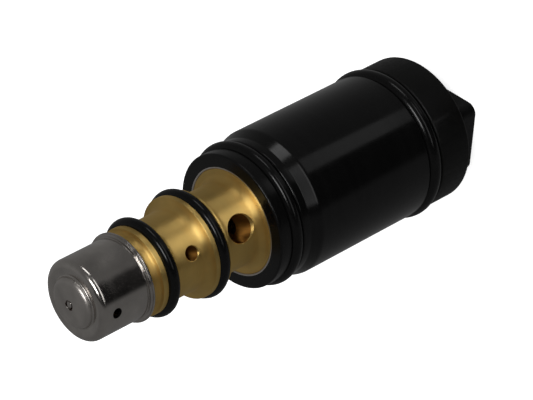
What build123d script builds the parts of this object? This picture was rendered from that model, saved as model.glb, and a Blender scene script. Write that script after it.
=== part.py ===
from build123d import *
import os

# A solenoid control valve for a variable compressor, in millimetres.
# It stands on the rim of its connector with the nose up, and +Z is its axis.
# Lengths along the axis, in the order they are met from the connector's rim to the nose.
socket_height = 5.5
end_cap_height = 7.6
rear_groove_width = 3.35
casing_length = 32.1
front_groove_width = 2.65
collar_band_height = 2.7
rear_waist_length = 8.9
middle_rear_land = 0.45
middle_groove_width = 2.4
middle_front_land = 0.95
front_waist_length = 7.4
nose_rear_land = 0.35
nose_groove_width = 2.4
nose_front_land = 1.15
neck_length = 2.1
nose_cap_height = 12.6

# Outside radii. The end cap is flush with the can, and the can's rings and steps follow it.
casing_radius = 14.4
casing_shoulder_step = 0.8
collar_step = 1.15
rear_ring_rise = 0.58
front_ring_step = 0.27
end_cap_radius = casing_radius
casing_shoulder_radius = casing_radius - casing_shoulder_step
collar_radius = casing_radius - collar_step
rear_flange_radius = 10.33
rear_waist_radius = 8.2
middle_land_radius = 9.89
front_waist_radius = 7.9
nose_land_radius = 8.5
neck_radius = 7.6
nose_cap_radius = 7.85
nose_cap_lip_radius = 8.62
nose_cap_crease_radius = 5.0

# Sealing rings: the radius over the rubber and the thickness of the cord.
rear_ring_radius = casing_radius + rear_ring_rise
rear_ring_cord = 3.2
front_ring_radius = casing_radius - front_ring_step
front_ring_cord = 2.5
middle_ring_radius = 10.6
middle_ring_cord = 2.3
nose_ring_radius = 9.58
nose_ring_cord = 2.3

# Connector socket and its two stamped terminals.
socket_width = 19.7
socket_breadth = 14.9
socket_wall = 1.5
socket_corner = 2.0
socket_depth = 10.5
latch_width = 5.0
latch_reach = 1.2
latch_length = 2.6
latch_setback = 1.0
key_width = 1.2
key_reach = 0.9
key_spacing = 9.0
key_setback = 1.0
terminal_spacing = 6.0
terminal_width = 2.8
terminal_thickness = 0.8
terminal_tip = 0.25
terminal_setback = 2.0
terminal_level = 15.0
terminal_bar = 1.6
terminal_leg_spacing = 17.4
terminal_leg_width = 1.8
terminal_root = 0.8
terminal_block_wall = 0.6

# Solenoid.
casing_wall = 1.6
casing_lip_length = 2.5
casing_shoulder_length = 1.8
casing_shoulder_rise = 2.3
casing_shoulder_blend = 2.5
casing_edge = 0.35
end_cap_edge = 0.8
collar_edge = 0.35
plate_thickness = 2.0
tube_bore_radius = 5.1
tube_wall = 0.4
tube_floor_round = 0.6
tube_flange_radius = 7.2
tube_flange_thickness = 0.5
tube_end_gap = 0.6
bobbin_wall = 0.9
bobbin_flange_thickness = 1.2
bobbin_flange_inset = 0.5
winding_inset = 0.9
core_length = 13.5
core_spigot_radius = 4.0
core_spigot_length = 5.5
core_recess_depth = 3.0
plunger_length = 11.0
plunger_recess_depth = 2.6
plunger_slot_width = 1.4
plunger_slot_depth = 0.7
plunger_edge = 0.4
shim_thickness = 0.3
rod_radius = 1.5
rod_grip = 5.5
rod_edge = 0.3
spring_radius = 2.45
spring_wire = 0.55
spring_turns = 5
spring_recess_radius = 3.1

# Valve and bellows.
travel = 1.0
chamber_radius = 3.3
chamber_length = 10.5
seat_radius = 2.4
seat_passage_length = 9.0
poppet_radius = 2.85
poppet_length = 1.4
large_port_diameter = 5.3
large_port_rise = 4.3
small_port_diameter = 2.7
small_port_rise = 3.2
port_turn = 32.5
port_edge = 0.15
waist_fillet = 1.6
front_waist_fillet = 1.9
neck_fillet = 0.5
land_edge = 0.15
flange_depth = 2.0
flange_edge = 0.25
body_tail_radius = 8.0
body_tail_length = 4.4
nose_spigot_length = 2.2
nose_cap_wall = 0.75
nose_cap_corner = 1.3
nose_cap_lip_height = 0.9
nose_cap_flare = 0.7
nose_cap_lip_edge = 0.25
nose_cap_face_drop = 1.1
nose_cap_dish = 0.25
nose_cap_crease = 0.3
crown_radius = 4.75
crown_camber = 0.2
crown_shoulder = 1.0
plug_radius = 0.6
plug_gap = 0.3
plug_gap_depth = 0.35
vent_diameter = 2.0
vent_drop = 4.35
vent_turn = 5.0
bellows_radius = 5.2
bellows_wall = 0.25
bellows_waves = 4
bellows_depth = 1.0
bellows_plate_thickness = 0.8
bellows_plate_lift = 0.3
bellows_plate_lap = 0.4
bellows_boss_radius = 1.9
bellows_boss_height = 0.8
bellows_spring_radius = 2.3
bellows_spring_wire = 0.5
bellows_spring_turns = 3
stop_thickness = 1.4
stop_radius = 5.6
stop_hole_radius = 1.2

# Clearances: a shaft in its guide, the plunger in its tube, a pressed piece, a stop.
guide_clearance = 0.05
plunger_clearance = 0.1
press_clearance = 0.02
stop_clearance = 0.1

# Heights of the faces, each worked out from the one below it.
cap_rear = socket_height
cap_front = cap_rear + end_cap_height
casing_rear = cap_front + rear_groove_width
casing_front = casing_rear + casing_length
collar_rear = casing_front + front_groove_width
collar_front = collar_rear + collar_band_height
middle_rear = collar_front + rear_waist_length
middle_groove_rear = middle_rear + middle_rear_land
middle_groove_front = middle_groove_rear + middle_groove_width
middle_front = middle_groove_front + middle_front_land
nose_rear = middle_front + front_waist_length
nose_groove_rear = nose_rear + nose_rear_land
nose_groove_front = nose_groove_rear + nose_groove_width
nose_front = nose_groove_front + nose_front_land
rim = nose_front + neck_length
tip = rim + nose_cap_height

# Inner faces, from the brass body down to the coil's rear plate and up to the bellows.
casing_bore = casing_radius - casing_wall
front_plate_top = casing_front - casing_lip_length
front_plate_base = front_plate_top - plate_thickness
flange_base = collar_front - flange_depth
body_tail = flange_base - body_tail_length
tube_flange_base = body_tail - tube_flange_thickness
core_top = body_tail + core_spigot_length
core_face = body_tail - core_length
plunger_top = core_face - shim_thickness - travel - stop_clearance
plunger_base = plunger_top - plunger_length
tube_floor = plunger_base - stop_clearance
rear_plate_base = tube_floor - tube_wall - tube_end_gap
rear_plate_top = rear_plate_base + plate_thickness
tube_outer_radius = tube_bore_radius + tube_wall
seat_height = core_top + chamber_length
guide_base = seat_height + seat_passage_length
spigot_top = rim + nose_spigot_length
bellows_plate_base = spigot_top + bellows_plate_lift
bellows_base = bellows_plate_base + bellows_plate_thickness
cap_face = tip - nose_cap_face_drop
cap_crease = cap_face - nose_cap_dish
stop_top = cap_crease - nose_cap_wall
stop_base = stop_top - stop_thickness
bellows_top = stop_base - bellows_plate_thickness
rod_base = plunger_top - plunger_recess_depth - rod_grip


def turned(outline, rounds=()):
    """Turn a half section, drawn as (radius, height) points, about the upright axis."""
    section = make_face(Polyline(*outline, close=True))
    for corner, radius in rounds:
        nearest = section.vertices().sort_by_distance((corner[0], corner[1], 0))[0]
        section = fillet(nearest, radius)
    return revolve(Plane.XZ * section, Axis.Z)


def within(size, wall):
    """A fillet's size, held to what its wall leaves."""
    return min(size, 0.9 * wall)


def upright(radius, base, top):
    """A plain cylinder on the axis between two heights."""
    return Pos(0, 0, (base + top) / 2) * Cylinder(radius, top - base)


def radial_hole(diameter, height, turn, reach):
    """A cylinder across the axis at a height, its ends at the reach, turned from +X."""
    return Rot(0, 0, turn) * Pos(0, 0, height) * Rot(0, 90, 0) * Cylinder(diameter / 2, 2 * reach)


def seal(outer_radius, cord, groove_base, groove_top):
    """A rubber ring of round section, midway along its groove."""
    height = (groove_base + groove_top) / 2
    return Pos(0, 0, height) * Torus(outer_radius - cord / 2, cord / 2)


def coil_spring(radius, wire, base, top, turns):
    """A round-wire spring between two faces, its wire just clear of both."""
    rise = top - base - wire - 2 * press_clearance
    path = Helix(rise / turns, rise, radius)
    start = Plane(origin=path @ 0, z_dir=path % 0)
    coil = sweep(start * Circle(wire / 2), path=path, is_frenet=True)
    return Pos(0, 0, base + wire / 2 + press_clearance) * coil


def terminal(side, grown=0.0):
    """A stamped terminal: a blade in the socket, a cross bar, and a leg up to the coil."""
    blade_x = side * terminal_spacing / 2
    leg_x = side * terminal_leg_spacing / 2
    root = rear_plate_top + terminal_root
    bar_reach = abs(leg_x - blade_x) + (terminal_width + terminal_leg_width) / 2
    bar_x = (blade_x - side * terminal_width / 2 + leg_x + side * terminal_leg_width / 2) / 2
    wide, thick = 2 * grown, terminal_thickness + 2 * grown
    blade_height = terminal_level - terminal_setback
    blade = Pos(blade_x, 0, terminal_setback + blade_height / 2)
    blade *= Box(terminal_width + wide, thick, blade_height + wide)
    bar = Pos(bar_x, 0, terminal_level + terminal_bar / 2) * Box(bar_reach + wide, thick, terminal_bar + wide)
    leg = Pos(leg_x, 0, (terminal_level + root) / 2)
    leg *= Box(terminal_leg_width + wide, thick, root - terminal_level + wide)
    shape = blade + bar + leg
    if grown == 0.0:
        ends = shape.faces().filter_by(Axis.Z).sort_by(Axis.Z)[0].edges().filter_by(Axis.X)
        shape = chamfer(ends, terminal_tip)
    return shape


def make_nose_cap():
    """The drawn steel cup on the nose, with a raised crown, a flared lip, a vent and a plugged hole."""
    bore = nose_cap_radius - nose_cap_wall
    lip_top = rim + nose_cap_lip_height
    flare_top = lip_top + nose_cap_flare
    crown_edge = tip - crown_camber
    face_edge = nose_cap_radius - nose_cap_corner
    outside = turned(
        [(0, rim), (nose_cap_lip_radius, rim), (nose_cap_lip_radius, lip_top), (nose_cap_radius, flare_top),
         (nose_cap_radius, cap_face), (face_edge, cap_face), (nose_cap_crease_radius, cap_crease),
         (crown_radius, crown_edge), (0, tip)],
        [((nose_cap_lip_radius, lip_top), nose_cap_lip_edge), ((nose_cap_lip_radius, rim), nose_cap_lip_edge),
         ((nose_cap_radius, flare_top), nose_cap_flare), ((nose_cap_radius, cap_face), 0.99 * nose_cap_corner),
         ((nose_cap_crease_radius, cap_crease), nose_cap_crease), ((crown_radius, crown_edge), crown_shoulder)])
    crown_bore = crown_radius - nose_cap_wall
    inside = turned(
        [(0, rim), (bore, rim), (bore, stop_top), (crown_bore, stop_top),
         (crown_bore, crown_edge - nose_cap_wall), (0, tip - nose_cap_wall)],
        [((bore, stop_top), nose_cap_corner - nose_cap_wall)])
    vent = radial_hole(vent_diameter, tip - vent_drop, vent_turn, 2 * nose_cap_radius)
    gap_floor = tip - plug_gap_depth
    gap = upright(plug_radius + plug_gap, gap_floor, tip) - upright(plug_radius, gap_floor, tip)
    return outside - inside - vent - gap


def make_valve_body():
    """The turned brass body: nose spigot, two grooved lands, two waists and the rear flange."""
    nose_floor = nose_ring_radius - nose_ring_cord - press_clearance
    middle_floor = middle_ring_radius - middle_ring_cord - press_clearance
    spigot = nose_cap_radius - nose_cap_wall - press_clearance
    outline = [
        (0, body_tail), (body_tail_radius, body_tail), (body_tail_radius, flange_base),
        (rear_flange_radius, flange_base), (rear_flange_radius, collar_front),
        (rear_waist_radius, collar_front), (rear_waist_radius, middle_rear),
        (middle_land_radius, middle_rear), (middle_land_radius, middle_groove_rear),
        (middle_floor, middle_groove_rear), (middle_floor, middle_groove_front),
        (middle_land_radius, middle_groove_front), (middle_land_radius, middle_front),
        (front_waist_radius, middle_front), (front_waist_radius, nose_rear),
        (nose_land_radius, nose_rear), (nose_land_radius, nose_groove_rear),
        (nose_floor, nose_groove_rear), (nose_floor, nose_groove_front),
        (nose_land_radius, nose_groove_front), (nose_land_radius, nose_front),
        (neck_radius, nose_front), (neck_radius, rim), (spigot, rim), (spigot, spigot_top),
        (0, spigot_top)]
    rear_step = middle_land_radius - rear_waist_radius - land_edge
    front_step = middle_land_radius - front_waist_radius - land_edge
    nose_step = nose_land_radius - front_waist_radius - land_edge
    neck_step = nose_land_radius - neck_radius - land_edge
    rounds = [
        ((rear_waist_radius, collar_front), within(waist_fillet, rear_step)),
        ((rear_waist_radius, middle_rear), within(waist_fillet, rear_step)),
        ((front_waist_radius, middle_front), within(front_waist_fillet, front_step)),
        ((front_waist_radius, nose_rear), within(neck_fillet, nose_step)),
        ((neck_radius, nose_front), within(neck_fillet, neck_step)),
        ((middle_land_radius, middle_front), land_edge), ((middle_land_radius, middle_rear), land_edge),
        ((nose_land_radius, nose_front), land_edge), ((nose_land_radius, nose_rear), land_edge),
        ((rear_flange_radius, collar_front), flange_edge)]
    body = turned(outline, rounds)
    reach = 2 * rear_flange_radius
    for diameter, height in (
            (large_port_diameter, collar_front + large_port_rise), (small_port_diameter, middle_front + small_port_rise)):
        skin = set(body.edges())
        body -= radial_hole(diameter, height, port_turn, reach)
        body = chamfer([edge for edge in body.edges() if edge not in skin], port_edge)
    body -= upright(core_spigot_radius + press_clearance, body_tail, core_top)
    body -= upright(chamber_radius, core_top, seat_height)
    body -= upright(seat_radius, seat_height, guide_base)
    body -= upright(rod_radius + guide_clearance, guide_base, spigot_top)
    return body


def make_rod():
    """The ground steel rod with the conical valve head that meets the seat."""
    cone = poppet_radius - rod_radius
    shoulder = seat_height - travel - stop_clearance - (poppet_radius - seat_radius)
    head_base = shoulder - poppet_length
    return turned(
        [(0, rod_base), (rod_radius, rod_base), (rod_radius, head_base - cone / 2), (poppet_radius, head_base),
         (poppet_radius, shoulder), (rod_radius, shoulder + cone), (rod_radius, bellows_plate_base),
         (0, bellows_plate_base)],
        [((rod_radius, rod_base), rod_edge), ((rod_radius, bellows_plate_base), rod_edge)])


def make_bellows():
    """The thin convoluted capsule between its two plates."""
    length = bellows_top - bellows_base
    pitch = length / bellows_waves

    def wavy_line(offset):
        points = []
        for wave in range(bellows_waves):
            low = bellows_base + wave * pitch
            points += [(bellows_radius - bellows_depth + offset, low),
                       (bellows_radius - bellows_wall + offset, low + pitch / 2)]
        return points + [(bellows_radius - bellows_depth + offset, bellows_top)]

    outer = wavy_line(0)
    inner = wavy_line(-bellows_wall)
    section = make_face(Spline(*outer) + Line(outer[-1], inner[-1]) + Spline(*inner) + Line(inner[0], outer[0]))
    return revolve(Plane.XZ * section, Axis.Z)


def make_bellows_plate(base, boss_side):
    """A disc that closes one end of the bellows, with a boss that centres the spring."""
    plate = upright(bellows_radius - bellows_depth + bellows_plate_lap, base, base + bellows_plate_thickness)
    if boss_side > 0:
        face = base + bellows_plate_thickness
        return plate + upright(bellows_boss_radius, face, face + bellows_boss_height)
    return plate + upright(bellows_boss_radius, base - bellows_boss_height, base)


def make_bellows_stop():
    """The adjusting disc that holds the bellows against the crown of the cap."""
    return upright(stop_radius, stop_base, stop_top) - upright(stop_hole_radius, stop_base, stop_top)


def make_collar():
    """The black steel collar that clamps the brass body to the solenoid."""
    tail = front_ring_radius - front_ring_cord - press_clearance
    flange_bore = rear_flange_radius + press_clearance
    tail_bore = body_tail_radius + press_clearance
    tube_bore = tube_outer_radius + press_clearance
    return turned(
        [(tube_bore, front_plate_top), (tail, front_plate_top), (tail, collar_rear),
         (collar_radius, collar_rear), (collar_radius, collar_front - collar_edge),
         (collar_radius - collar_edge, collar_front), (flange_bore + collar_edge, collar_front),
         (flange_bore, collar_front - collar_edge), (flange_bore, flange_base), (tail_bore, flange_base),
         (tail_bore, tube_flange_base), (tube_bore, tube_flange_base)])


def make_casing():
    """The black steel can of the solenoid, with a stepped front shoulder."""
    lip_bore = front_ring_radius - front_ring_cord
    shoulder_top = casing_front - casing_shoulder_length
    barrel_top = shoulder_top - casing_shoulder_rise
    return turned(
        [(casing_bore, casing_rear), (casing_radius, casing_rear), (casing_radius, barrel_top),
         (casing_shoulder_radius, shoulder_top), (casing_shoulder_radius, casing_front),
         (lip_bore, casing_front), (lip_bore, front_plate_top), (casing_bore, front_plate_top)],
        [((casing_radius, casing_rear), casing_edge), ((casing_radius, barrel_top), casing_shoulder_blend),
         ((casing_shoulder_radius, casing_front), casing_edge)])


def make_tube():
    """The thin non-magnetic tube, closed below, that seals the plunger in."""
    floor = tube_floor - tube_wall
    return turned(
        [(0, floor), (tube_outer_radius, floor), (tube_outer_radius, tube_flange_base),
         (tube_flange_radius, tube_flange_base), (tube_flange_radius, body_tail),
         (tube_bore_radius, body_tail), (tube_bore_radius, tube_floor), (0, tube_floor)],
        [((tube_outer_radius, floor), tube_floor_round)])


def make_core():
    """The fixed iron core, with a spigot into the brass body and a recess for the spring."""
    bore = rod_radius + guide_clearance
    radius = tube_bore_radius - press_clearance
    return turned(
        [(bore, core_face + core_recess_depth), (spring_recess_radius, core_face + core_recess_depth),
         (spring_recess_radius, core_face), (radius, core_face), (radius, body_tail),
         (core_spigot_radius, body_tail), (core_spigot_radius, core_top), (bore, core_top)])


def make_plunger():
    """The sliding iron armature, with a spring recess and two slots for the gas to pass."""
    bore = rod_radius + press_clearance
    radius = tube_bore_radius - plunger_clearance
    plunger = turned(
        [(bore, plunger_base), (radius, plunger_base), (radius, plunger_top),
         (spring_recess_radius, plunger_top), (spring_recess_radius, plunger_top - plunger_recess_depth),
         (bore, plunger_top - plunger_recess_depth)],
        [((radius, plunger_base), plunger_edge), ((radius, plunger_top), plunger_edge)])
    for side in (1, -1):
        middle = (plunger_base + plunger_top) / 2
        slot = Pos(0, side * radius, middle) * Box(plunger_slot_width, 2 * plunger_slot_depth, 2 * plunger_length)
        plunger -= slot
    return plunger


def make_washer():
    """The thin washer that keeps the plunger from sticking to the core."""
    ring = upright(tube_bore_radius - plunger_clearance, core_face - shim_thickness, core_face)
    return ring - upright(spring_recess_radius, core_face - shim_thickness, core_face)


def make_front_plate():
    """The iron ring that carries the field from the casing to the core."""
    ring = upright(casing_bore - press_clearance, front_plate_base, front_plate_top)
    return ring - upright(tube_outer_radius + press_clearance, front_plate_base, front_plate_top)


def terminal_blocks(clearance=0.0):
    """The two blocks of the bobbin through which the terminals reach the coil."""
    height = plate_thickness
    width = terminal_leg_width + 2 * (terminal_block_wall + clearance)
    depth = terminal_thickness + 2 * (terminal_block_wall + clearance)
    block = Pos(0, 0, rear_plate_base + height / 2) * Box(width, depth, height)
    return Pos(terminal_leg_spacing / 2, 0, 0) * block + Pos(-terminal_leg_spacing / 2, 0, 0) * block


def make_rear_plate():
    """The iron ring behind the coil, with a window for each terminal."""
    ring = upright(casing_bore - press_clearance, rear_plate_base, rear_plate_top)
    ring -= upright(tube_outer_radius + press_clearance, rear_plate_base, rear_plate_top)
    return ring - terminal_blocks(stop_clearance)


def make_bobbin():
    """The moulded spool of the coil."""
    bore = tube_outer_radius + stop_clearance
    barrel = bore + bobbin_wall
    flange = casing_bore - bobbin_flange_inset
    spool = turned(
        [(bore, rear_plate_top), (flange, rear_plate_top), (flange, rear_plate_top + bobbin_flange_thickness),
         (barrel, rear_plate_top + bobbin_flange_thickness), (barrel, front_plate_base - bobbin_flange_thickness),
         (flange, front_plate_base - bobbin_flange_thickness), (flange, front_plate_base),
         (bore, front_plate_base)])
    spool += terminal_blocks()
    return spool - terminal(1, press_clearance) - terminal(-1, press_clearance)


def make_winding():
    """The wound copper, as one solid ring."""
    base = rear_plate_top + bobbin_flange_thickness + press_clearance
    top = front_plate_base - bobbin_flange_thickness - press_clearance
    inner = tube_outer_radius + stop_clearance + bobbin_wall + press_clearance
    outer = casing_bore - bobbin_flange_inset - winding_inset
    return upright(outer, base, top) - upright(inner, base, top)


def make_end_cap():
    """The black moulding behind the casing, with the connector socket."""
    seat = rear_ring_radius - rear_ring_cord - press_clearance
    plug = casing_bore - press_clearance
    cap = turned(
        [(0, cap_rear), (end_cap_radius, cap_rear), (end_cap_radius, cap_front), (seat, cap_front),
         (seat, casing_rear), (plug, casing_rear), (plug, rear_plate_base), (0, rear_plate_base)],
        [((end_cap_radius, cap_rear), end_cap_edge), ((end_cap_radius, cap_front), casing_edge)])
    shroud = extrude(RectangleRounded(socket_width, socket_breadth, socket_corner), cap_rear + end_cap_edge)
    inside_corner = socket_corner - socket_wall
    inside = RectangleRounded(socket_width - 2 * socket_wall, socket_breadth - 2 * socket_wall, inside_corner)
    cap = cap + shroud - extrude(inside, socket_depth)
    inner_face = socket_breadth / 2 - socket_wall
    for side in (1, -1):
        rib = Pos(side * key_spacing / 2, inner_face - key_reach / 2, (socket_depth + key_setback) / 2)
        cap += rib * Box(key_width, key_reach, socket_depth - key_setback)
    nib_face = socket_breadth / 2
    nib = Polyline((nib_face, latch_setback), (nib_face + latch_reach, latch_setback + latch_length),
                   (nib_face, latch_setback + latch_length), close=True)
    cap += extrude(Plane.YZ * make_face(nib), latch_width / 2, both=True)
    return cap - terminal(1, press_clearance) - terminal(-1, press_clearance)


parts = {
    "nose_cap": make_nose_cap(),
    "valve_body": make_valve_body(),
    "valve_rod": make_rod(),
    "bellows": make_bellows(),
    "bellows_moving_plate": make_bellows_plate(bellows_plate_base, 1),
    "bellows_fixed_plate": make_bellows_plate(bellows_top, -1),
    "bellows_stop": make_bellows_stop(),
    "bellows_spring": coil_spring(
        bellows_spring_radius, bellows_spring_wire, bellows_base, bellows_top, bellows_spring_turns),
    "nose_o_ring": seal(nose_ring_radius, nose_ring_cord, nose_groove_rear, nose_groove_front),
    "middle_o_ring": seal(middle_ring_radius, middle_ring_cord, middle_groove_rear, middle_groove_front),
    "front_case_o_ring": seal(front_ring_radius, front_ring_cord, casing_front, collar_rear),
    "rear_case_o_ring": seal(rear_ring_radius, rear_ring_cord, cap_front, casing_rear),
    "front_collar": make_collar(),
    "solenoid_casing": make_casing(),
    "plunger_tube": make_tube(),
    "fixed_core": make_core(),
    "air_gap_washer": make_washer(),
    "plunger": make_plunger(),
    "return_spring": coil_spring(
        spring_radius, spring_wire, plunger_top - plunger_recess_depth, core_face + core_recess_depth, spring_turns),
    "front_field_plate": make_front_plate(),
    "rear_field_plate": make_rear_plate(),
    "coil_bobbin": make_bobbin(),
    "coil_winding": make_winding(),
    "connector_cap": make_end_cap(),
    "terminal_right": terminal(1),
    "terminal_left": terminal(-1),
}

os.makedirs("parts", exist_ok=True)
for name, shape in parts.items():
    export_step(shape, f"parts/{name}.step")
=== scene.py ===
import math

import bpy
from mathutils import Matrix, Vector


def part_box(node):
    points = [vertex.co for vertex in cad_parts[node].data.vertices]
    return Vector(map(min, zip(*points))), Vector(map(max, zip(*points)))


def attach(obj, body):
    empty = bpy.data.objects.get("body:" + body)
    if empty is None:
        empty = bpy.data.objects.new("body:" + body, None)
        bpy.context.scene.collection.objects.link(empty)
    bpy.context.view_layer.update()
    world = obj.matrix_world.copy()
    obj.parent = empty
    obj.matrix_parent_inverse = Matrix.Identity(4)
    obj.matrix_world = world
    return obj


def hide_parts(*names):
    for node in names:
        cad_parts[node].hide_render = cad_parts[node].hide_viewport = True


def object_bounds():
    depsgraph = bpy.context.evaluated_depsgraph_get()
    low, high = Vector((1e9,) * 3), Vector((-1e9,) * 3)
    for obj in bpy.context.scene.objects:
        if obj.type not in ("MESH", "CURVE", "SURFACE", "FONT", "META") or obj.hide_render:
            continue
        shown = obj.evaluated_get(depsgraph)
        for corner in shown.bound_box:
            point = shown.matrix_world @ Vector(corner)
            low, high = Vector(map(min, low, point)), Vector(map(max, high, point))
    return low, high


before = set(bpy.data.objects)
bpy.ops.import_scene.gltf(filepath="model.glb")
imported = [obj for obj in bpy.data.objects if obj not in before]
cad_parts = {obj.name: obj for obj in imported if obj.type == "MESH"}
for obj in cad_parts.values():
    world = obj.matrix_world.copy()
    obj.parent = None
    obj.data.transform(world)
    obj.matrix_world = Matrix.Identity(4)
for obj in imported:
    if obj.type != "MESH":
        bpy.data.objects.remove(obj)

bl_info = {
    "name": "Compressor control valve",
    "version": (1, 0, 0),
    "blender": (4, 5, 0),
    "location": "3D View > Sidebar > Valve",
    "description": "Finishes a solenoid control valve and sets up its studio",
    "category": "Object",
}

CAD_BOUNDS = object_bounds()
MM = 0.001
ROUND_STEPS = 160
CORNER_STEPS = 6
HOLE_STEPS = 64
CUT_REACH = 30 * MM
MERGE = 0.002 * MM
AXIS = (0, 0, 1)
ROOM_RADIUS = 3.0
FLOOR_GLOW = 0.75
WORLD_FOR_CAMERA, WORLD_FOR_LIGHT = 1.0, 0.6


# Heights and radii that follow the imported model.

def low(node):
    """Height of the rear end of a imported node."""
    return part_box(node)[0].z


def high(node):
    """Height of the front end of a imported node."""
    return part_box(node)[1].z


def middle(node):
    """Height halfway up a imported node."""
    return (low(node) + high(node)) / 2


def reach(node):
    """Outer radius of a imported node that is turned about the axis."""
    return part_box(node)[1].x


class ValveShape(bpy.types.PropertyGroup):
    """Sizes of the turned and moulded pieces."""

    neck_radius: bpy.props.FloatProperty(
        name="Neck radius", description="Radius of the brass behind the nose cap",
        default=7.6 * MM, unit="LENGTH")
    nose_land_radius: bpy.props.FloatProperty(
        name="Nose land radius", description="Radius of the brass each side of the nose ring",
        default=8.5 * MM, unit="LENGTH")
    front_waist_radius: bpy.props.FloatProperty(
        name="Front waist radius", description="Radius of the brass at the small ports",
        default=7.9 * MM, unit="LENGTH")
    middle_land_radius: bpy.props.FloatProperty(
        name="Middle land radius", description="Radius of the brass each side of the middle ring",
        default=9.89 * MM, unit="LENGTH")
    rear_waist_radius: bpy.props.FloatProperty(
        name="Rear waist radius", description="Radius of the brass at the large ports",
        default=8.2 * MM, unit="LENGTH")
    large_port: bpy.props.FloatProperty(
        name="Large port", description="Diameter of the cross port beside the can",
        default=5.3 * MM, unit="LENGTH")
    small_port: bpy.props.FloatProperty(
        name="Small port", description="Diameter of the cross port beside the nose ring",
        default=2.7 * MM, unit="LENGTH")
    port_turn: bpy.props.FloatProperty(
        name="Port turn", description="Turn of both cross ports about the axis",
        default=math.radians(32.5), subtype="ANGLE")
    vent: bpy.props.FloatProperty(
        name="Vent", description="Diameter of the side vent in the nose cap",
        default=2.0 * MM, unit="LENGTH")
    cap_wall: bpy.props.FloatProperty(
        name="Cap wall", description="Sheet thickness of the nose cap",
        default=0.75 * MM, unit="LENGTH")


class ValveFinish(bpy.types.PropertyGroup):
    """Colours of the finishes."""

    steel: bpy.props.FloatVectorProperty(
        name="Nose steel", description="Drawn steel of the nose cap",
        subtype="COLOR", size=3, min=0, max=1, default=(0.5, 0.47, 0.44))
    brass: bpy.props.FloatVectorProperty(
        name="Brass", description="Turned brass of the valve body",
        subtype="COLOR", size=3, min=0, max=1, default=(0.86, 0.6, 0.2))
    rubber: bpy.props.FloatVectorProperty(
        name="Rubber", description="Black rubber of the sealing rings",
        subtype="COLOR", size=3, min=0, max=1, default=(0.002, 0.002, 0.002))
    casing: bpy.props.FloatVectorProperty(
        name="Casing", description="Black finish of the can and the collar",
        subtype="COLOR", size=3, min=0, max=1, default=(0.002, 0.002, 0.002))
    plastic: bpy.props.FloatVectorProperty(
        name="Plastic", description="Black moulding of the connector",
        subtype="COLOR", size=3, min=0, max=1, default=(0.0015, 0.0015, 0.0013))
    copper: bpy.props.FloatVectorProperty(
        name="Copper", description="Enamelled wire of the coil",
        subtype="COLOR", size=3, min=0, max=1, default=(0.45, 0.16, 0.06))


class ValveStudio(bpy.types.PropertyGroup):
    """Camera and floor."""

    camera_place: bpy.props.FloatVectorProperty(
        name="Camera place", description="Where the camera stands", subtype="TRANSLATION",
        size=3, default=(0.31109, 0.32071, 0.36612))
    camera_turn: bpy.props.FloatVectorProperty(
        name="Camera turn", description="Turn of the camera about X, Y and Z", subtype="EULER",
        size=3, default=(math.radians(-32.413), math.radians(46.219), math.radians(4.471)))
    lens: bpy.props.FloatProperty(
        name="Lens", description="Focal length in millimetres on a 36 mm sensor", default=202.63)
    floor_size: bpy.props.FloatProperty(
        name="Floor size", description="Side of the square floor", default=6.0, unit="LENGTH")


# Modelling helpers.

def deselect():
    bpy.ops.object.select_all(action="DESELECT")


def activate(piece):
    deselect()
    piece.select_set(True)
    bpy.context.view_layer.objects.active = piece


def rounded(outline):
    """Points of an outline whose corners are (radius, height) or (radius, height, fillet)."""
    points = []
    for index, corner in enumerate(outline):
        here = Vector(corner[:2])
        if len(corner) == 2:
            points.append(here)
            continue
        before = (Vector(outline[index - 1][:2]) - here).normalized()
        after = (Vector(outline[(index + 1) % len(outline)][:2]) - here).normalized()
        half = before.angle(after) / 2
        run = corner[2] / math.tan(half)
        centre = here + (before + after).normalized() * corner[2] / math.sin(half)
        start = here + before * run - centre
        sweep = start.angle_signed(here + after * run - centre)
        for step in range(CORNER_STEPS + 1):
            turn = -sweep * step / CORNER_STEPS
            points.append(centre + Vector((
                start.x * math.cos(turn) - start.y * math.sin(turn),
                start.x * math.sin(turn) + start.y * math.cos(turn))))
    return points


def lathe(name, outline, closed):
    """Draw a half section point by point, then spin it about the axis."""
    points = rounded(outline)
    if closed:
        points.append(points[0])
    deselect()
    bpy.ops.mesh.primitive_plane_add(size=MM)
    piece = bpy.context.active_object
    piece.name = piece.data.name = name
    bpy.ops.object.mode_set(mode="EDIT")
    bpy.ops.mesh.select_all(action="SELECT")
    bpy.ops.mesh.merge(type="CENTER")
    here = points[0]
    bpy.ops.transform.translate(value=(here.x, 0, here.y))
    for there in points[1:]:
        move = (there.x - here.x, 0, there.y - here.y)
        bpy.ops.mesh.extrude_region_move(TRANSFORM_OT_translate={"value": move})
        here = there
    bpy.ops.mesh.select_all(action="SELECT")
    bpy.ops.mesh.spin(steps=ROUND_STEPS, angle=2 * math.pi, center=(0, 0, 0), axis=AXIS)
    bpy.ops.mesh.select_all(action="SELECT")
    bpy.ops.mesh.remove_doubles(threshold=MERGE)
    bpy.ops.mesh.select_all(action="SELECT")
    bpy.ops.mesh.normals_make_consistent(inside=False)
    bpy.ops.object.mode_set(mode="OBJECT")
    return piece


def place_in_mesh(piece):
    """Apply a piece's place, turn and scale to its mesh."""
    activate(piece)
    bpy.ops.object.transform_apply(location=True, rotation=True, scale=True)


def combine(piece, tool, operation):
    """Cut, join or keep with another mesh, which is used up."""
    place_in_mesh(tool)
    activate(piece)
    change = piece.modifiers.new(operation.lower(), "BOOLEAN")
    change.operation = operation
    change.solver = "EXACT"
    change.object = tool
    bpy.ops.object.modifier_apply(modifier=change.name)
    bpy.data.objects.remove(tool, do_unlink=True)


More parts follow.
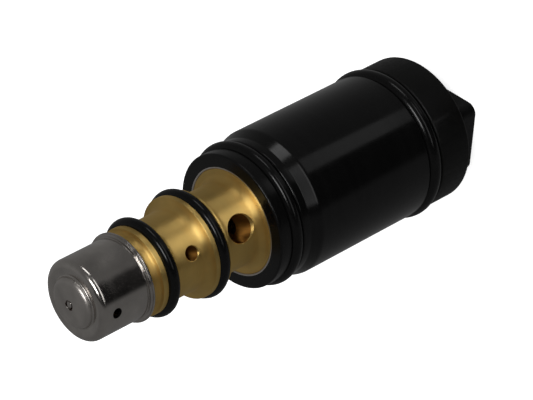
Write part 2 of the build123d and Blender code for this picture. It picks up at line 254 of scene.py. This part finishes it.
def drill(piece, diameter, height, turn):
    """A hole right across the axis."""
    deselect()
    bpy.ops.mesh.primitive_cylinder_add(
        vertices=HOLE_STEPS, radius=diameter / 2, depth=2 * CUT_REACH,
        location=(0, 0, height), rotation=(0, math.pi / 2, turn))
    combine(piece, bpy.context.active_object, "DIFFERENCE")


def countersink(piece, diameter, height, turn, surface, width, slope):
    """Break both rims of a cross hole, on a surface of this radius, with a cone."""
    above, below = 0.3 * MM, 1.2 * MM
    mouth, slant = diameter / 2 + width, math.tan(slope)
    out = surface + (above - below) / 2
    for side in (turn, turn + math.pi):
        deselect()
        bpy.ops.mesh.primitive_cone_add(
            vertices=HOLE_STEPS, radius1=mouth - below * slant, radius2=mouth + above * slant,
            depth=above + below, location=(out * math.cos(side), out * math.sin(side), height),
            rotation=(0, math.pi / 2, side))
        combine(piece, bpy.context.active_object, "DIFFERENCE")


def soften(piece, width, angle=40):
    """Break the edges that are sharper than an angle in degrees."""
    activate(piece)
    bevel = piece.modifiers.new("edges", "BEVEL")
    bevel.width = width
    bevel.segments = 2
    bevel.limit_method = "ANGLE"
    bevel.angle_limit = math.radians(angle)
    bpy.ops.object.modifier_apply(modifier=bevel.name)


def finish_piece(piece, body, material, nodes, angle=30):
    """Smooth a piece, give it its finish and let it stand for its nodes."""
    activate(piece)
    bpy.ops.object.shade_smooth_by_angle(angle=math.radians(angle))
    piece.data.materials.clear()
    piece.data.materials.append(material)
    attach(piece, body)
    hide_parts(*nodes)
    return piece


# Materials.

class Shader:
    """A material with its main shader and short ways to add nodes."""

    def __init__(self, name, **values):
        self.material = bpy.data.materials.new(name)
        self.material.use_nodes = True
        self.tree = self.material.node_tree
        self.main = self.tree.nodes["Principled BSDF"]
        for socket, value in values.items():
            self.main.inputs[socket.replace("_", " ")].default_value = value

    def add(self, kind, **settings):
        node = self.tree.nodes.new(kind)
        for key, value in settings.items():
            if key in node.inputs:
                node.inputs[key].default_value = value
            else:
                setattr(node, key, value)
        return node

    def join(self, source, target):
        self.tree.links.new(source, target)

    def place(self, scale):
        """Object coordinates, stretched."""
        coordinates = self.add("ShaderNodeTexCoord")
        mapping = self.add("ShaderNodeMapping")
        mapping.inputs["Scale"].default_value = scale
        self.join(coordinates.outputs["Object"], mapping.inputs["Vector"])
        return mapping.outputs["Vector"]

    def line_distance(self, along, height=0.0):
        """Distance from a line that crosses the axis at a height, or from the axis itself."""
        coordinates = self.add("ShaderNodeTexCoord")
        start = self.add("ShaderNodeVectorMath", operation="SUBTRACT")
        self.join(coordinates.outputs["Object"], start.inputs[0])
        start.inputs[1].default_value = (0, 0, height)
        across = self.add("ShaderNodeVectorMath", operation="CROSS_PRODUCT")
        self.join(start.outputs["Vector"], across.inputs[0])
        across.inputs[1].default_value = along
        length = self.add("ShaderNodeVectorMath", operation="LENGTH")
        self.join(across.outputs["Vector"], length.inputs[0])
        return length.outputs["Value"]

    def bearing(self):
        """Angle about the axis, in radians."""
        coordinates = self.add("ShaderNodeTexCoord")
        split = self.add("ShaderNodeSeparateXYZ")
        self.join(coordinates.outputs["Object"], split.inputs[0])
        angle = self.add("ShaderNodeMath", operation="ARCTAN2")
        self.join(split.outputs["Y"], angle.inputs[0])
        self.join(split.outputs["X"], angle.inputs[1])
        return angle.outputs[0]

    def combine(self, operation, first, second):
        """One value out of two, either of which may be a plain number."""
        node = self.add("ShaderNodeMath", operation=operation)
        for index, value in enumerate((first, second)):
            if isinstance(value, (int, float)):
                node.inputs[index].default_value = value
            else:
                self.join(value, node.inputs[index])
        return node.outputs[0]

    def turned_place(self, along, around):
        """Coordinates of a lathe: radius and height, much stretched, and the angle, little."""
        coordinates = self.add("ShaderNodeTexCoord")
        split = self.add("ShaderNodeSeparateXYZ")
        self.join(coordinates.outputs["Object"], split.inputs[0])
        radius = self.add("ShaderNodeMath", operation="MULTIPLY")
        self.join(self.line_distance(AXIS), radius.inputs[0])
        radius.inputs[1].default_value = along
        height = self.add("ShaderNodeMath", operation="MULTIPLY")
        self.join(split.outputs["Z"], height.inputs[0])
        height.inputs[1].default_value = along
        turn = self.add("ShaderNodeMath", operation="MULTIPLY")
        self.join(self.bearing(), turn.inputs[0])
        turn.inputs[1].default_value = around
        together = self.add("ShaderNodeCombineXYZ")
        self.join(radius.outputs[0], together.inputs["X"])
        self.join(height.outputs[0], together.inputs["Y"])
        self.join(turn.outputs[0], together.inputs["Z"])
        return together.outputs[0]

    def noise(self, place, scale, detail=3.0, roughness=0.5):
        """Cloudy values between nought and one."""
        noise = self.add("ShaderNodeTexNoise", Scale=scale, Detail=detail, Roughness=roughness)
        self.join(place, noise.inputs["Vector"])
        return noise.outputs["Fac"]

    def spread(self, value, low_value, high_value, low_in=0.3, high_in=0.7):
        """A value stretched to another range, and kept within it."""
        ramp = self.add("ShaderNodeMapRange")
        ramp.inputs["From Min"].default_value = low_in
        ramp.inputs["From Max"].default_value = high_in
        ramp.inputs["To Min"].default_value = low_value
        ramp.inputs["To Max"].default_value = high_value
        self.join(value, ramp.inputs["Value"])
        return ramp.outputs["Result"]

    def tint(self, value, dark, light):
        """Base colour between two shades."""
        mix = self.add("ShaderNodeMix", data_type="RGBA")
        mix.inputs["A"].default_value = (*dark, 1)
        mix.inputs["B"].default_value = (*light, 1)
        self.join(value, mix.inputs["Factor"])
        self.join(mix.outputs["Result"], self.main.inputs["Base Color"])

    def lay_stain_wear_and_shade(self, amount, colour):
        """Lay a colour over the base colour; used for real stains and wear, and for painted shade."""
        under = self.main.inputs["Base Color"].links[0].from_socket
        mix = self.add("ShaderNodeMix", data_type="RGBA")
        self.join(amount, mix.inputs["Factor"])
        self.join(under, mix.inputs["A"])
        mix.inputs["B"].default_value = (*colour, 1)
        self.join(mix.outputs["Result"], self.main.inputs["Base Color"])

    def arc(self, centre, half_width):
        """One within an angle about the axis, in degrees, fading to nought beyond it."""
        inner, outer = math.radians(half_width), 1.3 * math.radians(half_width)
        off_centre = self.combine("SUBTRACT", self.bearing(), math.radians(centre))
        return self.spread(self.combine("ABSOLUTE", off_centre, 0), 1, 0, inner, outer)

    def roughen(self, value, low_value, high_value):
        self.join(self.spread(value, low_value, high_value), self.main.inputs["Roughness"])

    def bump(self, value, distance, strength=1.0):
        bump = self.add("ShaderNodeBump", Distance=distance, Strength=strength)
        self.join(value, bump.inputs["Height"])
        self.join(bump.outputs["Normal"], self.main.inputs["Normal"])


def shade(colour, factor):
    return tuple(min(1.0, channel * factor) for channel in colour)


def drawn_steel(colour):
    """Steel with fine rings, a satin crown and two brown stains at the rim of its plug."""
    rust = (0.05, 0.018, 0.008)
    crown_edge, wall_edge, crown_haze = 4.8 * MM, 5.3 * MM, 0.17
    shader = Shader("drawn_steel", Metallic=1.0)
    lines = shader.noise(shader.turned_place(900, 0.6), 1.0, 4.0)
    clouds = shader.noise(shader.place((1, 1, 1)), 220.0)
    shader.tint(shader.spread(clouds, 0, 1), shade(colour, 0.86), shade(colour, 1.14))
    from_axis = shader.line_distance(AXIS)
    satin = shader.spread(from_axis, crown_haze, 0, crown_edge, wall_edge)
    worn = shader.combine("ADD", shader.spread(lines, 0.12, 0.18), shader.spread(clouds, 0, 0.07))
    shader.join(shader.combine("ADD", worn, satin), shader.main.inputs["Roughness"])
    past_plug = shader.spread(from_axis, 0, 1, 0.45 * MM, 0.55 * MM)
    before_crown = shader.spread(from_axis, 1, 0, 1.0 * MM, 1.15 * MM)
    ring = shader.combine("MULTIPLY", past_plug, before_crown)
    two_arcs = shader.combine("MAXIMUM", shader.arc(-166, 26), shader.arc(-62, 22))
    shader.lay_stain_wear_and_shade(shader.combine("MULTIPLY", ring, two_arcs), rust)
    shader.bump(lines, 0.003 * MM, 0.5)
    return shader.material


def turned_brass(colour, ports, turn):
    """Brass with marks of the lathe, and painted shade inside its ports, given as (height, radius)."""
    painted_port_shade, fade_start, fade_end = (0.33, 0.15, 0.03), 0.01 * MM, 0.04 * MM
    shader = Shader("turned_brass", Metallic=1.0, Anisotropic=0.85, Anisotropic_Rotation=0.25)
    tangent = shader.add("ShaderNodeTangent", direction_type="RADIAL", axis="Z")
    shader.join(tangent.outputs[0], shader.main.inputs["Tangent"])
    lines = shader.noise(shader.turned_place(1400, 0.3), 1.0, 5.0, 0.6)
    clouds = shader.noise(shader.place((1, 1, 1)), 140.0)
    shader.tint(shader.spread(clouds, 0, 1), shade(colour, 0.88), shade(colour, 1.1))
    shader.roughen(lines, 0.46, 0.56)
    # Painted shade: the base colour is darkened to a brown inside each port, where shade falls.
    for height, radius in ports:
        from_port = shader.line_distance((math.cos(turn), math.sin(turn), 0), height)
        inside = shader.spread(from_port, 1, 0, radius + fade_start, radius + fade_end)
        shader.lay_stain_wear_and_shade(inside, painted_port_shade)
    shader.bump(lines, 0.005 * MM)
    return shader.material


def plain_metal(name, colour, roughness):
    """A metal with slight clouds in its colour and gloss."""
    shader = Shader(name, Metallic=1.0)
    clouds = shader.noise(shader.place((1, 1, 1)), 300.0)
    shader.tint(shader.spread(clouds, 0, 1), shade(colour, 0.9), shade(colour, 1.1))
    shader.roughen(clouds, roughness, roughness + 0.1)
    return shader.material


def seal_rubber(colour):
    """Smooth rubber with a very fine grain."""
    shader = Shader("seal_rubber", Specular_IOR_Level=0.22)
    grain = shader.noise(shader.place((1, 1, 1)), 2500.0)
    shader.tint(shader.spread(grain, 0, 1), shade(colour, 0.8), shade(colour, 1.3))
    shader.roughen(grain, 0.16, 0.23)
    shader.bump(grain, 0.002 * MM, 0.4)
    return shader.material


def black_casing(colour, name="black_casing"):
    """Smooth black paint on a turned surface. Returns the shader, to be worked on further."""
    shader = Shader(name, Specular_IOR_Level=0.25)
    lines = shader.noise(shader.turned_place(600, 0.4), 1.0, 4.0)
    shader.tint(shader.spread(lines, 0, 1), shade(colour, 0.8), shade(colour, 1.2))
    shader.roughen(lines, 0.13, 0.19)
    shader.bump(lines, 0.002 * MM, 0.4)
    return shader


def bare_bored(colour, steel, bare_radius):
    """The black finish, worn to the steel inside a radius."""
    fade, black_roughness, bare_roughness = 0.05 * MM, 0.26, 0.35
    shader = black_casing(colour, "bare_bored_casing")
    bare = shader.spread(shader.line_distance(AXIS), 1, 0, bare_radius, bare_radius + fade)
    shader.lay_stain_wear_and_shade(bare, steel)
    shader.join(bare, shader.main.inputs["Metallic"])
    roughness = shader.spread(bare, black_roughness, bare_roughness, 0, 1)
    shader.join(roughness, shader.main.inputs["Roughness"])
    return shader


def black_plastic(colour):
    """Matte moulded plastic."""
    shader = Shader("black_plastic", Specular_IOR_Level=0.22)
    grain = shader.noise(shader.place((1, 1, 1)), 1800.0, 4.0)
    shader.tint(shader.spread(grain, 0, 1), shade(colour, 0.8), shade(colour, 1.25))
    shader.roughen(grain, 0.42, 0.55)
    shader.bump(grain, 0.006 * MM, 0.6)
    return shader.material


def bobbin_plastic():
    """Plain nylon."""
    dark, light = (0.5, 0.44, 0.34), (0.6, 0.54, 0.44)
    shader = Shader("bobbin_plastic", Specular_IOR_Level=0.4)
    grain = shader.noise(shader.place((1, 1, 1)), 900.0)
    shader.tint(shader.spread(grain, 0, 1), dark, light)
    shader.roughen(grain, 0.4, 0.5)
    return shader.material


def wound_copper(colour):
    """Enamelled wire, with its turns shown by bump lines on the ring that stands for them."""
    shader = Shader("wound_copper", Metallic=1.0, Coat_Weight=0.4)
    turns = shader.noise(shader.turned_place(2600, 0.1), 1.0, 2.0)
    shader.tint(shader.spread(turns, 0, 1), shade(colour, 0.7), shade(colour, 1.2))
    shader.roughen(turns, 0.25, 0.4)
    shader.bump(turns, 0.05 * MM)
    return shader.material


# One operator for each piece or group of like pieces.

class ValveOperator:
    bl_options = {"REGISTER", "UNDO"}


class VALVE_OT_nose_cap(ValveOperator, bpy.types.Operator):
    """Draw the steel cap on the nose, with its crown, lip, vent and plugged hole"""

    bl_idname = "valve.nose_cap"
    bl_label = "Nose cap"

    def execute(self, context):
        shape, finish, _ = settings()
        rim, tip, lip = low("nose_cap"), high("nose_cap"), reach("nose_cap")
        outer, wall, corner = 7.85 * MM, shape.cap_wall, 1.3 * MM
        corner_fillet = 0.99 * corner
        face = tip - 1.1 * MM
        crease, crease_radius = face - 0.25 * MM, 5.0 * MM
        crown_radius, crown_edge = 4.75 * MM, tip - 0.2 * MM
        lip_top, lip_step, lip_rise = rim + 0.9 * MM, rim + 0.45 * MM, 0.2 * MM
        bore, ceiling, crown_bore = outer - wall, crease - wall, crown_radius - wall
        plug, gap, gap_floor, gap_edge = 0.6 * MM, 0.3 * MM, tip - 0.35 * MM, 0.05 * MM
        plug_top = tip - 0.012 * MM
        crown_start = plug_top - 0.02 * MM
        vent_height, vent_turn = tip - 4.35 * MM, math.radians(5)
        outline = [
            (0, tip), (plug, plug_top, gap_edge), (plug, gap_floor), (plug + gap, gap_floor),
            (plug + gap, crown_start, gap_edge), (crown_radius, crown_edge, 1.0 * MM),
            (crease_radius, crease, 0.3 * MM), (outer - corner, face), (outer, face, corner_fillet),
            (outer, lip_top, 0.12 * MM), (lip - lip_rise, lip_top, 0.12 * MM),
            (lip - lip_rise, lip_step), (lip, lip_step, 0.1 * MM), (lip, rim, 0.2 * MM),
            (bore, rim), (bore, ceiling, corner - wall), (crown_bore, ceiling),
            (crown_bore, crown_edge - wall), (0, tip - wall)]
        cap = lathe("nose_cap_shell", outline, closed=False)
        drill(cap, shape.vent, vent_height, vent_turn)
        soften(cap, 0.06 * MM)
        finish_piece(cap, "valve", drawn_steel(finish.steel), ["nose_cap"])
        return {"FINISHED"}


class VALVE_OT_body(ValveOperator, bpy.types.Operator):
    """Turn the brass body and drill its cross ports"""

    bl_idname = "valve.body"
    bl_label = "Brass body"

    def execute(self, context):
        shape, finish, _ = settings()
        tail, top, rim = low("valve_body"), high("valve_body"), low("nose_cap")
        flange, flange_top = reach("valve_body"), high("front_collar")
        flange_rear, tail_radius, spigot = flange_top - 2 * MM, 8.0 * MM, 7.08 * MM
        half_groove, groove_edge, ring_depth = 1.2 * MM, 0.06 * MM, 2.32 * MM
        middle_ring, nose_ring = middle("middle_o_ring"), middle("nose_o_ring")
        middle_floor = reach("middle_o_ring") - ring_depth
        nose_floor = reach("nose_o_ring") - ring_depth
        middle_low, middle_high = middle_ring - half_groove, middle_ring + half_groove
        nose_low, nose_high = nose_ring - half_groove, nose_ring + half_groove
        middle_rear, middle_front = middle_low - 0.45 * MM, middle_high + 0.95 * MM
        nose_rear, nose_front = nose_low - 0.35 * MM, nose_high + 1.15 * MM
        waist, front_waist, neck = shape.rear_waist_radius, shape.front_waist_radius, shape.neck_radius
        land, nose_land = shape.middle_land_radius, shape.nose_land_radius
        edge, wide, wider = 0.15 * MM, 1.38 * MM, 1.65 * MM
        core_bore, chamber, seat_bore, rod_bore = 4.02 * MM, 3.3 * MM, 2.4 * MM, 1.55 * MM
        core_top = tail + 5.5 * MM
        seat = core_top + 10.5 * MM
        guide = seat + 9 * MM
        outline = [
            (core_bore, tail), (tail_radius, tail), (tail_radius, flange_rear),
            (flange, flange_rear), (flange, flange_top, 0.25 * MM),
            (waist, flange_top, wide), (waist, middle_rear, wide), (land, middle_rear, edge),
            (land, middle_low, groove_edge), (middle_floor, middle_low),
            (middle_floor, middle_high), (land, middle_high, groove_edge),
            (land, middle_front, edge), (front_waist, middle_front, wider),
            (front_waist, nose_rear, 0.4 * MM), (nose_land, nose_rear, edge),
            (nose_land, nose_low, groove_edge), (nose_floor, nose_low),
            (nose_floor, nose_high), (nose_land, nose_high, groove_edge),
            (nose_land, nose_front, edge), (neck, nose_front, 0.5 * MM), (neck, rim),
            (spigot, rim), (spigot, top), (rod_bore, top), (rod_bore, guide), (seat_bore, guide),
            (seat_bore, seat), (chamber, seat), (chamber, core_top), (core_bore, core_top)]
        body = lathe("brass_body", outline, closed=True)
        turn, large, small = shape.port_turn, shape.large_port, shape.small_port
        large_height, small_height = flange_top + 4.3 * MM, middle_front + 3.2 * MM
        large_cone, small_cone = (0.34 * MM, math.radians(30)), (0.2 * MM, math.radians(40))
        drill(body, large, large_height, turn)
        drill(body, small, small_height, turn)
        countersink(body, large, large_height, turn, waist, *large_cone)
        countersink(body, small, small_height, turn, front_waist, *small_cone)
        ports = ((large_height, large / 2), (small_height, small / 2))
        brass = turned_brass(finish.brass, ports, turn)
        finish_piece(body, "valve", brass, ["valve_body"])
        return {"FINISHED"}


class VALVE_OT_rings(ValveOperator, bpy.types.Operator):
    """Mould the four rubber rings"""

    bl_idname = "valve.rings"
    bl_label = "Sealing rings"

    def execute(self, context):
        _, finish, _ = settings()
        rubber = seal_rubber(finish.rubber)
        cord_steps = 28
        for node in ("nose_o_ring", "middle_o_ring", "front_case_o_ring", "rear_case_o_ring"):
            cord = (high(node) - low(node)) / 2
            centre = reach(node) - cord
            outline = []
            for step in range(cord_steps):
                turn = 2 * math.pi * step / cord_steps
                outline.append((centre + cord * math.cos(turn), middle(node) + cord * math.sin(turn)))
            ring = lathe(node + "_rubber", outline, closed=True)
            finish_piece(ring, "valve", rubber, [node], angle=60)
        return {"FINISHED"}


class VALVE_OT_can(ValveOperator, bpy.types.Operator):
    """Turn the black can and the collar in front of it"""

    bl_idname = "valve.can"
    bl_label = "Can and collar"

    def execute(self, context):
        _, finish, _ = settings()
        black = black_casing(finish.casing).material
        rear, front, radius = low("solenoid_casing"), high("solenoid_casing"), reach("solenoid_casing")
        shoulder, lip_bore, bore = 13.6 * MM, 11.63 * MM, radius - 1.6 * MM
        shoulder_top, lip_rear = front - 1.8 * MM, front - 2.5 * MM
        barrel_top = shoulder_top - 2.3 * MM
        can = lathe("can_shell", [
            (bore, rear), (radius, rear, 0.35 * MM), (radius, barrel_top, 2.5 * MM),
            (shoulder, shoulder_top, 0.6 * MM), (shoulder, front, 0.35 * MM), (lip_bore, front),
            (lip_bore, lip_rear), (bore, lip_rear)], closed=True)
        finish_piece(can, "valve", black, ["solenoid_casing"])

        front, radius, base = high("front_collar"), reach("front_collar"), low("front_collar")
        band = front - 2.7 * MM
        flange_bore, edge, bare_edge, bare_rim = 10.35 * MM, 0.35 * MM, 0.1 * MM, 0.3 * MM
        tube_bore, tail_bore, tail = 5.52 * MM, 8.02 * MM, 11.61 * MM
        ledge, step_height = front - 2 * MM, base + 0.95 * MM
        collar = lathe("collar_ring", [
            (tube_bore, base), (tail, base), (tail, band), (radius, band, 0.15 * MM),
            (radius, front, edge), (flange_bore + bare_edge, front), (flange_bore, front - bare_edge),
            (flange_bore, ledge), (tail_bore, ledge), (tail_bore, step_height),
            (tube_bore, step_height)], closed=True)
        bare_steel = shade(finish.steel, 1.2)
        worn = bare_bored(finish.casing, bare_steel, flange_bore + bare_rim).material
        finish_piece(collar, "valve", worn, ["front_collar"])
        return {"FINISHED"}


class VALVE_OT_connector(ValveOperator, bpy.types.Operator):
    """Finish the black moulding with the connector socket, and its two blades"""

    bl_idname = "valve.connector"
    bl_label = "Connector"

    def execute(self, context):
        _, finish, _ = settings()
        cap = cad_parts["connector_cap"]
        dressed = polished_copy(cap, "connector_moulding", 0.12 * MM)
        plastic = black_plastic(finish.plastic)
        finish_piece(dressed, "valve", plastic, ["connector_cap"])
        tin = plain_metal("tinned_blade", (0.55, 0.54, 0.5), 0.25)
        for node in ("terminal_right", "terminal_left"):
            dress_node(node, tin)
        return {"FINISHED"}


def polished_copy(node, name, edge):
    """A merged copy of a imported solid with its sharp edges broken."""
    deselect()
    copy = node.copy()
    copy.data = node.data.copy()
    for key in list(copy.keys()):
        del copy[key]
    copy.name = copy.data.name = name
    bpy.context.scene.collection.objects.link(copy)
    copy.parent = None
    activate(copy)
    bpy.ops.object.mode_set(mode="EDIT")
    bpy.ops.mesh.select_all(action="SELECT")
    bpy.ops.mesh.remove_doubles(threshold=MERGE)
    bpy.ops.mesh.select_all(action="SELECT")
    bpy.ops.mesh.dissolve_limited(angle_limit=math.radians(0.5))
    bpy.ops.object.mode_set(mode="OBJECT")
    soften(copy, edge, angle=35)
    return copy


def dress_node(name, material):
    """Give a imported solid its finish."""
    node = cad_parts[name]
    for index in range(len(node.material_slots)):
        node.material_slots[index].material = material


class VALVE_OT_works(ValveOperator, bpy.types.Operator):
    """Give the pieces inside the valve their finishes"""

    bl_idname = "valve.works"
    bl_label = "Inner works"

    def execute(self, context):
        _, finish, _ = settings()
        ground = plain_metal("ground_steel", (0.42, 0.41, 0.4), 0.22)
        iron = plain_metal("turned_iron", (0.3, 0.29, 0.28), 0.35)
        stainless = plain_metal("bright_tube", (0.5, 0.5, 0.49), 0.25)
        wire = plain_metal("spring_wire", (0.4, 0.4, 0.4), 0.3)
        capsule = plain_metal("bellows_bronze", (0.45, 0.33, 0.16), 0.28)
        finishes = {
            ground: ("valve_rod", "bellows_stop"),
            iron: ("fixed_core", "plunger", "front_field_plate", "rear_field_plate"),
            stainless: ("plunger_tube", "air_gap_washer"),
            wire: ("return_spring", "bellows_spring"),
            capsule: ("bellows", "bellows_moving_plate", "bellows_fixed_plate"),
            bobbin_plastic(): ("coil_bobbin",),
            wound_copper(finish.copper): ("coil_winding",),
        }
        for material, names in finishes.items():
            for name in names:
                dress_node(name, material)
        return {"FINISHED"}


class VALVE_OT_studio(ValveOperator, bpy.types.Operator):
    """Lay the floor, set the lights and place the camera"""

    bl_idname = "valve.studio"
    bl_label = "Studio"

    def execute(self, context):
        _, _, studio = settings()
        lay_floor(studio.floor_size)
        raise_walls(ROOM_RADIUS)
        hang_strip(azimuth=69, distance=0.5, width=0.2, base=-0.5, top=-0.27, strength=0.65)
        set_world()
        for lamp in LAMPS:
            add_lamp(*lamp)
        camera = bpy.data.objects.new("camera", bpy.data.cameras.new("camera"))
        context.scene.collection.objects.link(camera)
        camera.location = studio.camera_place
        camera.rotation_euler = studio.camera_turn
        camera.data.lens = studio.lens
        camera.data.sensor_width = 36
        camera.data.clip_start = 0.01
        context.scene.camera = camera
        context.scene.view_settings.view_transform = "Standard"
        return {"FINISHED"}


# Name, azimuth and elevation of its place in degrees, distance, width, height, power in watts.
LAMPS = (
    ("key_softbox", 59.5, 45, 1.2, 0.64, 0.24, 6.0),
    ("long_band", 44.5, -6, 1.5, 1.66, 0.3, 3.1),
    ("short_band", 101.5, -6, 1.5, 0.64, 0.3, 1.8),
)

# Azimuth in degrees and brightness of the grey walls that the shiny pieces mirror.
WALLS = (
    (-180, 0.2), (-162, 0.2), (-122, 0.15), (-106, 0.14), (-4, 0.15), (6, 0.01), (50, 0.02), (64, 0.14),
    (118, 0.14), (134, 0.15), (150, 0.17), (180, 0.2))


def seen_by_camera_or_gloss(tree):
    """One where a camera, glossy or transmission ray looks, else nought."""
    path = tree.nodes.new("ShaderNodeLightPath")
    both = tree.nodes.new("ShaderNodeMath")
    both.operation = "MAXIMUM"
    tree.links.new(path.outputs["Is Camera Ray"], both.inputs[0])
    tree.links.new(path.outputs["Is Glossy Ray"], both.inputs[1])
    every = tree.nodes.new("ShaderNodeMath")
    every.operation = "MAXIMUM"
    tree.links.new(both.outputs[0], every.inputs[0])
    tree.links.new(path.outputs["Is Transmission Ray"], every.inputs[1])
    return every.outputs[0]


def only_mirrored(stage_object):
    """Hide a stage object from all but the reflections."""
    stage_object.visible_camera = False
    stage_object.visible_diffuse = False
    stage_object.visible_transmission = False
    stage_object.visible_shadow = False


def raise_walls(radius):
    """A round room of grey walls, darker on one side."""
    deselect()
    bpy.ops.mesh.primitive_uv_sphere_add(segments=48, ring_count=24, radius=radius)
    room = bpy.context.active_object
    room.name = "grey_room"
    only_mirrored(room)
    shader = Shader("grey_walls", Roughness=1.0, Specular_IOR_Level=0.0)
    shader.main.inputs["Base Color"].default_value = (0, 0, 0, 1)
    shader.main.inputs["Emission Color"].default_value = (1, 1, 1, 1)
    turn = shader.spread(shader.bearing(), 0, 1, -math.pi, math.pi)
    ramp = shader.add("ShaderNodeValToRGB")
    points = ramp.color_ramp.elements
    for index, (azimuth, value) in enumerate(WALLS):
        position = (azimuth + 180) / 360
        point = points[index] if index < 2 else points.new(position)
        point.position = position
        point.color = (value, value, value, 1)
    shader.join(turn, ramp.inputs["Fac"])
    shader.join(ramp.outputs["Color"], shader.main.inputs["Emission Strength"])
    room.data.materials.append(shader.material)


def hang_strip(azimuth, distance, width, base, top, strength):
    """A narrow upright light that shows in the can's side."""
    turn = math.radians(azimuth)
    deselect()
    bpy.ops.mesh.primitive_plane_add(
        size=1, location=(distance * math.cos(turn), distance * math.sin(turn), (base + top) / 2),
        rotation=(math.pi / 2, 0, turn + math.pi / 2))
    strip = bpy.context.active_object
    strip.name = "narrow_strip"
    strip.scale = (width, top - base, 1)
    only_mirrored(strip)
    shader = Shader("strip_glow", Roughness=1.0, Specular_IOR_Level=0.0)
    shader.main.inputs["Base Color"].default_value = (0, 0, 0, 1)
    shader.main.inputs["Emission Color"].default_value = (1, 1, 1, 1)
    shader.main.inputs["Emission Strength"].default_value = strength
    strip.data.materials.append(shader.material)


def lay_floor(size):
    """A white floor that the shiny pieces don't mirror."""
    deselect()
    bpy.ops.mesh.primitive_plane_add(size=size)
    floor = bpy.context.active_object
    floor.name = "floor"
    floor.visible_glossy = False
    shader = Shader("pale_floor", Roughness=0.9, Specular_IOR_Level=0.0)
    shader.main.inputs["Base Color"].default_value = (0.8, 0.8, 0.8, 1)
    shader.main.inputs["Emission Color"].default_value = (1, 1, 1, 1)
    glow = shader.add("ShaderNodeMath", operation="MULTIPLY")
    glow.inputs[1].default_value = FLOOR_GLOW
    shader.join(seen_by_camera_or_gloss(shader.tree), glow.inputs[0])
    shader.join(glow.outputs[0], shader.main.inputs["Emission Strength"])
    floor.data.materials.append(shader.material)


def set_world():
    """A white world, dimmer for the light that it gives than for the camera."""
    world = bpy.data.worlds.new("studio")
    bpy.context.scene.world = world
    world.use_nodes = True
    tree = world.node_tree
    background = tree.nodes["Background"]
    background.inputs["Color"].default_value = (1, 1, 1, 1)
    strength = tree.nodes.new("ShaderNodeMapRange")
    strength.inputs["To Min"].default_value = WORLD_FOR_LIGHT
    strength.inputs["To Max"].default_value = WORLD_FOR_CAMERA
    tree.links.new(seen_by_camera_or_gloss(tree), strength.inputs["Value"])
    tree.links.new(strength.outputs["Result"], background.inputs["Strength"])


def add_lamp(name, azimuth, elevation, distance, width, height, power):
    """A lamp that points at the middle of the valve."""
    lamp = bpy.data.objects.new(name, bpy.data.lights.new(name, "AREA"))
    bpy.context.scene.collection.objects.link(lamp)
    lamp.data.shape = "RECTANGLE"
    lamp.data.size, lamp.data.size_y, lamp.data.energy = width, height, power
    turn, lift = math.radians(azimuth), math.radians(elevation)
    aim = Vector((0, 0, (CAD_BOUNDS[0][2] + CAD_BOUNDS[1][2]) / 2))
    away = Vector((math.cos(turn) * math.cos(lift), math.sin(turn) * math.cos(lift), math.sin(lift)))
    lamp.location = aim + away * distance
    lamp.rotation_euler = away.to_track_quat("Z", "Y").to_euler()


OPERATORS = (
    VALVE_OT_nose_cap, VALVE_OT_body, VALVE_OT_rings, VALVE_OT_can, VALVE_OT_connector, VALVE_OT_works,
    VALVE_OT_studio)


class VALVE_PT_panel(bpy.types.Panel):
    """Lists the valve's pieces in the sidebar"""

    bl_idname = "VALVE_PT_panel"
    bl_label = "Valve"
    bl_space_type = "VIEW_3D"
    bl_region_type = "UI"
    bl_category = "Valve"

    def draw(self, context):
        for operator in OPERATORS:
            self.layout.operator(operator.bl_idname)
        for group in settings():
            for name in group.__annotations__:
                self.layout.prop(group, name)


CLASSES = (ValveShape, ValveFinish, ValveStudio, *OPERATORS, VALVE_PT_panel)


def settings():
    scene = bpy.context.scene
    return scene.valve_shape, scene.valve_finish, scene.valve_studio


def register():
    for each in CLASSES:
        bpy.utils.register_class(each)
    bpy.types.Scene.valve_shape = bpy.props.PointerProperty(type=ValveShape)
    bpy.types.Scene.valve_finish = bpy.props.PointerProperty(type=ValveFinish)
    bpy.types.Scene.valve_studio = bpy.props.PointerProperty(type=ValveStudio)


def unregister():
    del bpy.types.Scene.valve_studio
    del bpy.types.Scene.valve_finish
    del bpy.types.Scene.valve_shape
    for each in reversed(CLASSES):
        bpy.utils.unregister_class(each)


def main():
    register()
    bpy.ops.valve.nose_cap()
    bpy.ops.valve.body()
    bpy.ops.valve.rings()
    bpy.ops.valve.can()
    bpy.ops.valve.connector()
    bpy.ops.valve.works()
    bpy.ops.valve.studio()


if __name__ == "__main__":
    main()
